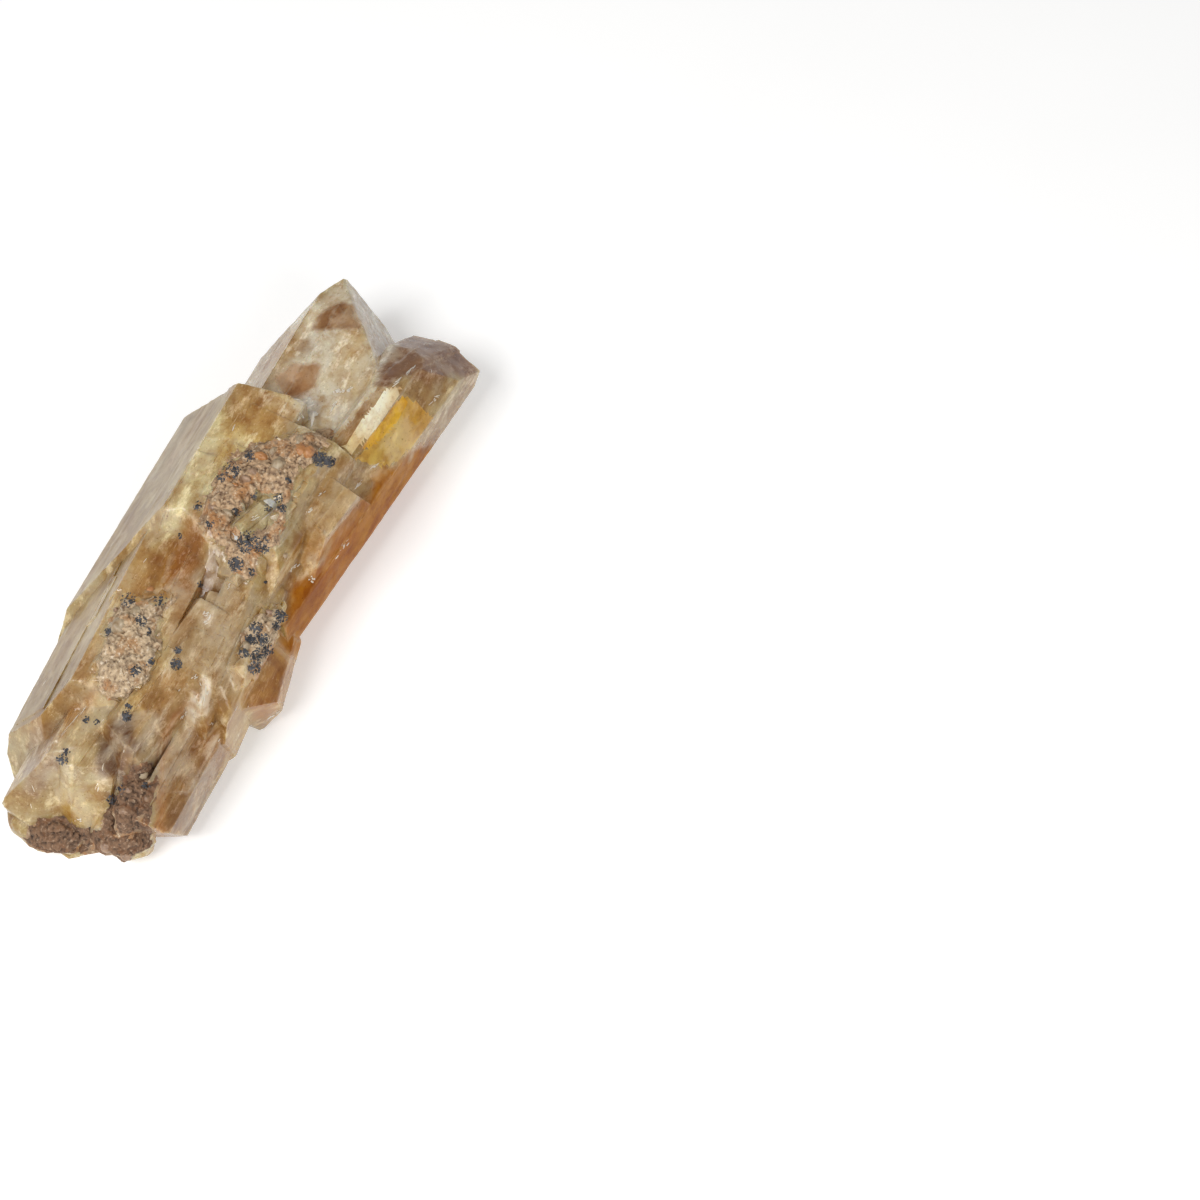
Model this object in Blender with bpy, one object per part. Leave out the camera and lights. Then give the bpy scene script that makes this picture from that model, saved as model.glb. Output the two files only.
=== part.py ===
"""A golden barite specimen: a bundle of crystals grown side by side, with patches of earthy crust.

The specimen lies on its flat underside. +X runs along the crystals towards their finished tips, +Y to the
side with the long sloping faces, +Z up. Sizes are in millimetres until mesh_object, which makes metres.
"""
import math
import random

import bmesh
import bpy
from mathutils import Matrix, Vector, noise
from mathutils.bvhtree import BVHTree

MM = 0.001
SEED = 7

# The angle between the sloping side faces of barite {011} and its broad top face {001}, in degrees.
DOME_FROM_TOP = 52.7

# How far a crust reaches into the crystals below it, and how thin it runs out at its rim.
ROOTING = 0.6
RIM = 0.2

# Crystals that stand this far above their surroundings poke through a crust.
PIERCING = 1

# Every crystal that can be told apart: the ends of its axis, its size across and through, how far the sloping
# faces come down (upper left, upper right, lower left, lower right), its end faces as (turn, tilt, setback), how
# many laths lie on it, and how far the highest of them stands proud.
CRYSTALS = {
    "left_upper": dict(
        foot=(-15, 8.3, 9.6), tip=(18.8, 9.3, 9.6), width=17, depth=20, bevels=(11.4, 0, 6, 0),
        head=((6, 6, 0),), tail=((14, 48, 3), (-30, 40, 4)), laths=5, proud=0.16),
    "left_lower": dict(
        foot=(-34, 7, 7.5), tip=(6, 9.7, 9.2), width=15.6, depth=17.2, bevels=(9.8, 0, 5, 0),
        tail=((30, 26, 2.6), (-20, 40, 3.4), (12, -6, 0.6)), laths=6, proud=0.24),
    "left_foot": dict(
        foot=(-38.2, 5.4, 6), tip=(-14, 6.7, 7.8), width=11.6, depth=13.4, bevels=(6.2, 2, 3, 0),
        tail=((-5, 33, 2.9), (-34, 28, 4.2), (14, -6, 1.2)), laths=5, proud=0.36),
    "front_body": dict(
        foot=(-20, 0.4, 9), tip=(17.8, -0.4, 10), width=13, depth=20, bevels=(0, 2.4, 0, 5),
        head=((-4, 12, 0),), tail=((-24, 52, 5), (24, 46, 6)), laths=5, proud=0.2),
    "upper_back": dict(
        foot=(4, 3.4, 9.4), tip=(44, 5.2, 7.4), width=17.6, depth=14.4, bevels=(6.6, 0, 5, 0),
        head=((64, 12, -3.7), (-49, 30, 0.4), (-16, 8, 3.2), (-6, -48, 4)), laths=3, proud=0.14),
    "right_prism": dict(
        foot=(-5, -3.8, 9), tip=(42, -6.9, 8.8), width=9.4, depth=17, bevels=(4, 5.8, 2, 6),
        head=((25, 66, -4.9), (16, 50, 1.2), (0, 51.2, 1.8), (-30, 48, 1.4), (6, -44, 2.2)), laths=3, proud=0.14),
    "right_body": dict(
        foot=(-4, -4.7, 9.2), tip=(16.4, -6.4, 9.2), width=7, depth=18, bevels=(0, 1.6, 0, 6),
        head=((-10, 25, 0.6),), tail=((-30, 32, 1.4), (20, 40, 2)), laths=3, proud=0.16),
    "right_lower": dict(
        foot=(-15.8, -8.2, 6.4), tip=(-1.4, -5.2, 8.8), width=6, depth=13, bevels=(0, 6.4, 0, 3),
        head=((-50, 10, 0),), tail=((-42, -4, 0.6), (10, -12, 0.4)), laths=2, proud=0.16),
    "middle_lower": dict(
        foot=(-22.4, -6, 8), tip=(-2, -4.2, 10), width=6, depth=15.4, bevels=(0, 3.6, 0, 4),
        tail=((-24, -8, 0.8), (16, 30, 1.6)), laths=4, proud=0.36),
    "middle_low_blade": dict(
        foot=(-26, -4.4, 7.4), tip=(-6, -2.8, 9.8), width=6.4, depth=14.4, bevels=(1, 2.4, 0, 4),
        tail=((-15, 20, 2), (18, 36, 2.6)), laths=4, proud=0.36),
    "centre_blade": dict(
        foot=(-33.6, 1.2, 6.8), tip=(-8, -2.6, 10.2), width=6.6, depth=15, bevels=(1.4, 2.2, 0, 3),
        tail=((18, 34, 2.4), (-24, 30, 2), (0, 0, 0.6)), laths=4, proud=0.36),
    "middle_foot": dict(
        foot=(-36, 4, 6.2), tip=(-12, 1.4, 8.8), width=7.4, depth=12.6, bevels=(0.8, 1.6, 0, 3),
        tail=((8, 24, 2.2), (-30, 26, 2), (0, -4, 0.6)), laths=4, proud=0.36),
    "right_foot": dict(
        foot=(-32.4, -6, 5.2), tip=(-15, -6.2, 7.4), width=4.4, depth=10, bevels=(0, 1.4, 0, 3),
        tail=((-24, -18, 0.8), (14, -10, 0.4)), laths=3, proud=0.3),
    "crust_crystal": dict(
        foot=(-0.6, -0.5, 19.9), tip=(4.7, -2.4, 20.3), width=1.7, depth=2, bevels=(0.8, 0.8, 0, 0),
        head=((0, 40, 0.6),), tail=((0, 20, 0.3),), laths=0, proud=0),
}

# Patches of earthy crust: the way that each one faces, in degrees from upwards towards the right, its outline
# seen from there, as (along, across), how thick the crust is, how lumpy, and how far apart its points are.
CRUSTS = {
    "upper_crust": dict(
        facing=0,
        outline=((-1.6, 3.7), (4, 4.8), (7, 4.4), (10, 3.2), (12.5, 1.3), (15, -0.6), (17, -3.6), (15.6, -5.4),
                 (10.4, -5.8), (8.2, -4.4), (5.4, -4.6), (1.6, -5.6), (-2.6, -5), (-5.6, -3.4), (-5, -1),
                 (-2.6, 1.4)),
        thickness=0.9, lumps=0.8, spacing=0.8),
    "lower_crust": dict(
        facing=0,
        outline=((-18.2, 6.8), (-14.5, 8.2), (-12.2, 7.5), (-10.2, 5.1), (-8.8, 2.6), (-13.3, 2.3),
                 (-16.8, 0.6), (-19.6, 0.4), (-22.4, 1.2), (-23, 4.2), (-21, 6.4)),
        thickness=0.8, lumps=0.8, spacing=0.8),
    "side_crust": dict(
        facing=40,
        outline=((-12.6, 4.9), (-9.2, 5.6), (-5.5, 4.6), (-3.2, 2.6), (-5, 1.2), (-8.9, 1), (-12.2, 1),
                 (-14.6, 2), (-13.9, 4.1)),
        thickness=0.7, lumps=0.6, spacing=0.7),
}

# The matrix at the foot, as rounded lumps grown together, and the pit in it: centre and half sizes.
MATRIX_LUMPS = (
    ((-31.9, -1.3, 3.8), (3.4, 3.8, 4.4)),
    ((-35, 6.8, 2.8), (2.6, 4.8, 2.5)),
    ((-30.2, -2.9, 8.2), (4.2, 2, 3.2)),
)
MATRIX_PIT = ((-33.4, -1.8, 8), (1.5, 1.2, 1.7))
LUMP_ROUGHNESS = 0.18

# Where cleaved sheets are missing from the underside: centre, length, width, turn in degrees and depth.
CLEAVED_SHEETS = (
    ((12, 14), 34, 14, 39.15, 0.5),
    ((-30, 12), 26, 12, -39.15, 0.8),
    ((-12, -9), 22, 7, 0, 0.6),
    ((12, -6), 30, 6, 3, 0.3),
)


def clear_scene():
    for old in list(bpy.data.objects):
        bpy.data.objects.remove(old)


def cut(bm, point, normal):
    """Keeps what lies behind the plane and closes the cut."""
    geometry = bm.verts[:] + bm.edges[:] + bm.faces[:]
    made = bmesh.ops.bisect_plane(
        bm, geom=geometry, dist=1e-5, plane_co=point, plane_no=normal, clear_outer=True
    )
    rim = [g for g in made["geom_cut"] if isinstance(g, bmesh.types.BMEdge)]
    if rim:
        bmesh.ops.edgeloop_fill(bm, edges=rim)


def axes_of(foot, tip):
    """The turn from a crystal's own axes, along, to the left and up, to the specimen's."""
    along = (tip - foot).normalized()
    side = Vector((0, 0, 1)).cross(along).normalized()
    up = along.cross(side)
    return Matrix((along, side, up)).transposed().to_4x4()


def end_normal(turn, tilt):
    """A face's outward direction at the tip: turned to the left and tilted up from the crystal's own axis."""
    turn, tilt = math.radians(turn), math.radians(tilt)
    return Vector((math.cos(turn) * math.cos(tilt), math.sin(turn) * math.cos(tilt), math.sin(tilt)))


def crystal_mesh(foot, tip, width, depth, bevels, head=(), tail=(), rise=0.0, slab=None):
    """One crystal, as a box cut by its faces. rise moves every long face outwards, and slab keeps only what lies
    between two distances across, which makes a lath that stands proud of the crystal."""
    foot, tip = Vector(foot), Vector(tip)
    length = (tip - foot).length
    bm = bmesh.new()
    bmesh.ops.create_cube(bm, size=1.0)
    bmesh.ops.scale(bm, vec=(length, width + 2 * rise, depth + 2 * rise), verts=bm.verts)
    slope = math.radians(DOME_FROM_TOP)
    for (side, level), drop in zip(((1, 1), (-1, 1), (1, -1), (-1, -1)), bevels):
        if drop:
            normal = Vector((0, side * math.sin(slope), level * math.cos(slope)))
            point = Vector((0, side * width / 2, level * (depth / 2 - drop)))
            cut(bm, point + normal * rise, normal)
    for side, edge in zip((-1, 1), slab or ()):
        cut(bm, Vector((0, edge, 0)), Vector((0, side, 0)))
    for end, faces in ((1, head), (-1, tail)):
        for turn, tilt, setback in faces:
            normal = end_normal(turn, tilt)
            normal.x *= end
            cut(bm, Vector((end * (length / 2 - setback), 0, 0)), normal)
    place = Matrix.Translation((foot + tip) / 2) @ axes_of(foot, tip)
    bmesh.ops.transform(bm, matrix=place, verts=bm.verts)
    return bm


def faces_of(spec):
    return {key: value for key, value in spec.items() if key not in ("laths", "proud")}


def lath_of(spec, chance):
    """A narrow strip of the same crystal, a little proud of it and set back from its ends."""
    width = spec["width"]
    across = width * chance.uniform(0.14, 0.42)
    low = chance.uniform(-width / 2 - 0.2, width / 2 + 0.2 - across)
    lath = faces_of(spec)
    lath["rise"] = chance.uniform(0.08, spec["proud"])
    lath["slab"] = (low, low + across)
    length = math.dist(spec["foot"], spec["tip"])
    for end, plain in (("head", (0, 20, 0)), ("tail", (0, 20, 0))):
        more = length * chance.choice((-0.006, 0.02, 0.06, 0.15, 0.3))
        faces = spec.get(end) or (plain,)
        lath[end] = tuple((turn, tilt, setback + more) for turn, tilt, setback in faces)
    return lath


def material(name, colour, roughness, transmission=0.0):
    """A plain material. Barite bends light by 1.64."""
    made = bpy.data.materials.new(name)
    made.use_nodes = True
    shader = made.node_tree.nodes["Principled BSDF"]
    shader.inputs["Base Color"].default_value = (*colour, 1)
    shader.inputs["Roughness"].default_value = roughness
    shader.inputs["Transmission Weight"].default_value = transmission
    shader.inputs["IOR"].default_value = 1.636
    return made


def mesh_object(name, bm, material=None):
    bmesh.ops.scale(bm, vec=(MM, MM, MM), verts=bm.verts)
    mesh = bpy.data.meshes.new(name)
    bm.to_mesh(mesh)
    bm.free()
    if material:
        mesh.materials.append(material)
    obj = bpy.data.objects.new(name, mesh)
    bpy.context.scene.collection.objects.link(obj)
    return obj


def add_to(whole, piece):
    """Puts one closed piece into a bmesh that holds several, overlapping as they may."""
    bmesh.ops.recalc_face_normals(piece, faces=piece.faces)
    mesh = bpy.data.meshes.new("piece")
    piece.to_mesh(mesh)
    piece.free()
    whole.from_mesh(mesh)
    bpy.data.meshes.remove(mesh)


def cut_away(obj, cutters):
    """Joins the overlapping pieces of an object into one solid and takes all the cutters from it."""
    tools = bpy.data.collections.new(obj.name + "_cutters")
    for cutter in cutters:
        cutter.hide_render = True
        cutter.display_type = "WIRE"
        tools.objects.link(cutter)
    step = obj.modifiers.new("cut_away", "BOOLEAN")
    step.operation = "DIFFERENCE"
    step.operand_type = "COLLECTION"
    step.collection = tools
    step.use_self = True


def lump_mesh(centre, radii):
    """A rounded lump with an uneven surface."""
    bm = bmesh.new()
    bmesh.ops.create_icosphere(bm, subdivisions=3, radius=1.0)
    for vert in bm.verts:
        outward = vert.co.normalized()
        bump = noise.fractal(outward * 2.2 + Vector(centre), 1.0, 2.0, 3)
        swell = 1 + LUMP_ROUGHNESS * bump
        vert.co = Vector(centre) + Vector([o * r * swell for o, r in zip(outward, radii)])
    return bm


def block_mesh(centre, length, width, turn, top):
    """A block that takes away everything under it up to its top."""
    bm = bmesh.new()
    bmesh.ops.create_cube(bm, size=1.0)
    bmesh.ops.scale(bm, vec=(length, width, 20), verts=bm.verts)
    place = Matrix.Translation((*centre, top - 10)) @ Matrix.Rotation(math.radians(turn), 4, "Z")
    bmesh.ops.transform(bm, matrix=place, verts=bm.verts)
    return bm


def inside(point, outline):
    """Whether a point lies inside a closed outline, by counting the edges to its left."""
    x, y = point
    found = False
    for (x0, y0), (x1, y1) in zip(outline, outline[1:] + outline[:1]):
        if (y0 > y) != (y1 > y) and x < x0 + (y - y0) / (y1 - y0) * (x1 - x0):
            found = not found
    return found


def heights(tree, turn, x, y, radius):
    """How far out the crystals reach at a point and at eight points around it, in millimetres, lowest first.
    turn is the rotation from upwards to the way that is looked from."""
    found = []
    for step in range(9):
        reach = radius if step else 0
        angle = math.tau * step / 8
        start = turn @ Vector((x + reach * math.cos(angle), y + reach * math.sin(angle), 60))
        hit = tree.ray_cast(start, turn @ Vector((0, 0, -1)))[0]
        found.append((turn.inverted() @ hit).z if hit else 0.0)
    return sorted(found)


def largest_patch(cells):
    """The largest group of cells that share sides, without cells that touch it at a corner only."""
    left = set(cells)
    best = set()
    while left:
        group, queue = set(), [left.pop()]
        while queue:
            i, j = queue.pop()
            group.add((i, j))
            for near in ((i + 1, j), (i - 1, j), (i, j + 1), (i, j - 1)):
                if near in left:
                    left.discard(near)
                    queue.append(near)
        if len(group) > len(best):
            best = group
    for i, j in sorted(best):
        for side in (1, -1):
            if (i + 1, j + side) in best and (i + 1, j) not in best and (i, j + side) not in best:
                best.add((i + 1, j))
    return best


def crust_mesh(tree, chance, facing, outline, thickness, lumps, spacing):
    """A patch of crust on the crystals. Its underside lies inside them, so that the two grow into one."""
    turn = Matrix.Rotation(math.radians(facing), 3, "X")
    x0 = min(x for x, y in outline)
    y0 = min(y for x, y in outline)
    columns = math.ceil((max(x for x, y in outline) - x0) / spacing)
    rows = math.ceil((max(y for x, y in outline) - y0) / spacing)
    spots = {}
    for i in range(columns + 1):
        for j in range(rows + 1):
            x = x0 + (i + chance.uniform(-0.28, 0.28)) * spacing
            y = y0 + (j + chance.uniform(-0.28, 0.28)) * spacing
            near = heights(tree, turn, x, y, spacing)
            level = heights(tree, turn, x, y, 2.2)[4]
            bump = noise.fractal(Vector((x, y, 3.0)) * 0.7, 1.0, 2.0, 2)
            high = max(level + thickness + lumps * bump, near[-1] + RIM)
            spots[i, j] = (x, y, near[0] - ROOTING, near[-1], high, near[-1] - level)
    cells = []
    for i in range(columns):
        for j in range(rows):
            corners = [spots[i + a, j + b] for a, b in ((0, 0), (1, 0), (1, 1), (0, 1))]
            middle = [sum(corner[axis] for corner in corners) / 4 for axis in range(2)]
            pierced = any(corner[5] > PIERCING for corner in corners)
            if inside(middle, outline) and not pierced:
                cells.append((i, j))
    patch = largest_patch(cells)
    bm = bmesh.new()
    uses = {}
    for i, j in patch:
        for a, b in ((0, 0), (1, 0), (1, 1), (0, 1)):
            uses[i + a, j + b] = uses.get((i + a, j + b), 0) + 1
    upper, lower = {}, {}
    for key, count in uses.items():
        x, y, low, ground, high, _ = spots[key]
        if count < 4:
            high = ground + RIM
        lower[key] = bm.verts.new((x, y, low))
        upper[key] = bm.verts.new((x, y, high))
    for i, j in sorted(patch):
        ring = [(i, j), (i + 1, j), (i + 1, j + 1), (i, j + 1)]
        bm.faces.new([upper[key] for key in ring])
        bm.faces.new([lower[key] for key in reversed(ring)])
        for (a, b), beyond in zip(
            zip(ring, ring[1:] + ring[:1]), ((i, j - 1), (i + 1, j), (i, j + 1), (i - 1, j))
        ):
            if beyond not in patch:
                bm.faces.new([lower[a], lower[b], upper[b], upper[a]])
    bmesh.ops.triangulate(bm, faces=bm.faces)
    bmesh.ops.transform(bm, matrix=turn.to_4x4(), verts=bm.verts)
    return bm


def specimen_mesh(chance):
    """All the crystals, laths, crusts and matrix lumps as closed pieces that overlap."""
    whole = bmesh.new()
    for spec in CRYSTALS.values():
        add_to(whole, crystal_mesh(**faces_of(spec)))
        for _ in range(spec["laths"]):
            add_to(whole, crystal_mesh(**lath_of(spec, chance)))
    tree = BVHTree.FromBMesh(whole)
    for spec in CRUSTS.values():
        add_to(whole, crust_mesh(tree, chance, **spec))
    for centre, radii in MATRIX_LUMPS:
        add_to(whole, lump_mesh(centre, radii))
    return whole


def centre_on_origin(node):
    """Moves everything so that the specimen's box stands on the ground plane, centred on the origin."""
    bpy.context.view_layer.update()
    evaluated = node.evaluated_get(bpy.context.evaluated_depsgraph_get())
    points = [vert.co.copy() for vert in evaluated.to_mesh().vertices]
    evaluated.to_mesh_clear()
    lowest = [min(point[axis] for point in points) for axis in range(3)]
    highest = [max(point[axis] for point in points) for axis in range(3)]
    middle = [(low + high) / 2 for low, high in zip(lowest, highest)]
    for obj in bpy.data.objects:
        obj.location -= Vector((middle[0], middle[1], lowest[2]))


def build():
    clear_scene()
    chance = random.Random(SEED)
    barite = material("golden_barite", (0.72, 0.56, 0.3), 0.2, 0.6)
    specimen = mesh_object("barite_crystal", specimen_mesh(chance), barite)
    cutters = [mesh_object("ground_cutter", block_mesh((0, 0), 140, 80, 0, 0))]
    for number, sheet in enumerate(CLEAVED_SHEETS):
        cutters.append(mesh_object(f"sheet_cutter_{number}", block_mesh(*sheet)))
    cutters.append(mesh_object("pit_cutter", lump_mesh(*MATRIX_PIT)))
    cut_away(specimen, cutters)
    centre_on_origin(specimen)


build()
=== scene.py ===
"""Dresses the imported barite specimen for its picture: finer faces, earthy crust, materials and light.

Sizes are in millimetres in the frame of the model's source until mesh_object, which makes metres and
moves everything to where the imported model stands. Places on the specimen are given as the photograph shows
them: as pixels of its 1200 pixel frame, seen through the camera below, and each is put on the surface that
it falls on.
"""
import math
import random

import bmesh
import bpy
import numpy as np
from mathutils import Matrix, Vector, kdtree, noise
from mathutils.bvhtree import BVHTree


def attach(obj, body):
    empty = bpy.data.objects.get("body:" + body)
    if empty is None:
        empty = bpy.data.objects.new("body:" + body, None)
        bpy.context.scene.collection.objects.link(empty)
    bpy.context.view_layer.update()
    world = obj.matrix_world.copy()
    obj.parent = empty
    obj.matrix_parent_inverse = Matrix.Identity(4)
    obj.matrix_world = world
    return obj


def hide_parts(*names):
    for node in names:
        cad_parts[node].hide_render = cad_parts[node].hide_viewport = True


MM = 0.001
MM_PER_METRE = 1000
SEED = 11

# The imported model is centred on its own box, which moves it by this much from where the source draws it.
CENTRING = Vector((-1.8659, -3.1867, 0.0))

# The photograph's camera: the way it looks, in degrees, its lens and sensor, in millimetres, and one point
# that it sees at a known pixel from a known distance.
AZIMUTH = -65.5
ELEVATION = 58.0
LENS = 85.0
SENSOR = 36.0
FRAME_PX = 1200
AIM_POINT = Vector((0.0, 0.0, 10.0))
AIM_PX = (243.0, 574.0)
DISTANCE = 326.0
FOCAL_PX = LENS / SENSOR * FRAME_PX

# The crystal faces: the cells that they are divided into and how far growth and wear have moved them, both
# in millimetres, how much of a sharp edge is rounded off, and the degrees from which an edge counts as
# sharp.
CELL = 0.46
WEAVE = 0.05
RIPPLE = 0.005
CHIP = 0.05
ROUNDING = 0.4
CREASE = 13.0

# Points below this height stay where they are, which keeps the underside flat.
UNDERSIDE = 0.05

# The cuts: the degrees under which two faces count as one, how near a point has to be to lie on a cut and
# how near to another to be joined with it, and how far from a sharp zone's outline its cut reaches, in
# pixels.
FLAT_ANGLE = 0.4
ON_CUT = 1e-4
JOIN_REACH = 0.03
CUT_REACH = 5.0

# The crystals' light path: how strongly they bend light and what they take out of it on the way.
BARITE_IOR = 1.636
ABSORBED = (0.93, 0.80, 0.36)
ABSORBED_PER_METRE = 42.0

# How strongly their skin shines, where 0.5 is what the bending of light alone gives, and how strongly the
# amber side at the right does, which light hardly glances off.
SHINE = 0.22
AMBER_SHINE = 0.02

# Where the crystals are milky, how much of the light wanders inside them, and how far, in millimetres.
MILKINESS = 0.45
GLOW_REACH = (3.2, 2.5, 1.3)

# The floor is a pale light table that glows a little. It reaches this far from the middle, in metres.
FLOOR_GLOW = 0.3
FLOOR_REACH = 1.5

# The light all round, and the lamps: where each stands, in millimetres, how wide it is, in metres, and its
# power in watts. All lamps face one point.
SKY_COLOUR = (1.0, 0.99, 0.97)
SKY_STRENGTH = 0.36
LAMPS = {
    "key": dict(place=(-230, 40, 330), width=0.18, power=1.1),
    "fill": dict(place=(-200, -280, 240), width=0.2, power=0.5),
}
LAMP_TARGET = Vector((0, 0, 8))

# The floor's two greys, which differ hardly at all.
FLOOR_GREYS = ((0.86, 0.86, 0.86), (0.88, 0.88, 0.88))


def daylight(red, green, blue):
    """A colour as it looks in daylight, 0 to 255, as linear light."""
    linear = []
    for value in (red, green, blue):
        value /= 255
        linear.append(value / 12.92 if value <= 0.04045 else ((value + 0.055) / 1.055) ** 2.4)
    return tuple(linear)


# What clouds the crystals: brown, golden and tan where they are stained, dark specks, and the pale haze and
# the milk of veils, scratches and sparkles, whose white specks are partly crushed spots and partly painted
# glints.
BROWN_MOTTLE = daylight(196, 156, 102)
GOLD_PATCHES = daylight(240, 206, 128)
TAN_CLOUDS = daylight(206, 176, 130)
DARK_SPECKS = daylight(150, 112, 72)
PALE_HAZE = daylight(240, 228, 200)
WHITE_MILK_AND_GLINTS = daylight(244, 238, 222)

# The growth steps on their faces: how a slow noise turns into four flat steps.
GROWTH_STEPS = (
    (0.36, 0.0), (0.37, 0.25), (0.45, 0.25), (0.46, 0.5),
    (0.54, 0.5), (0.55, 0.75), (0.62, 0.75), (0.63, 1.0),
)

# The dark specks of the crusts, and the beads from dark to light.
CRUST_SPECKS = daylight(78, 64, 56)
BEAD_COLOURS = (daylight(34, 34, 37), daylight(92, 93, 98))
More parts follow.
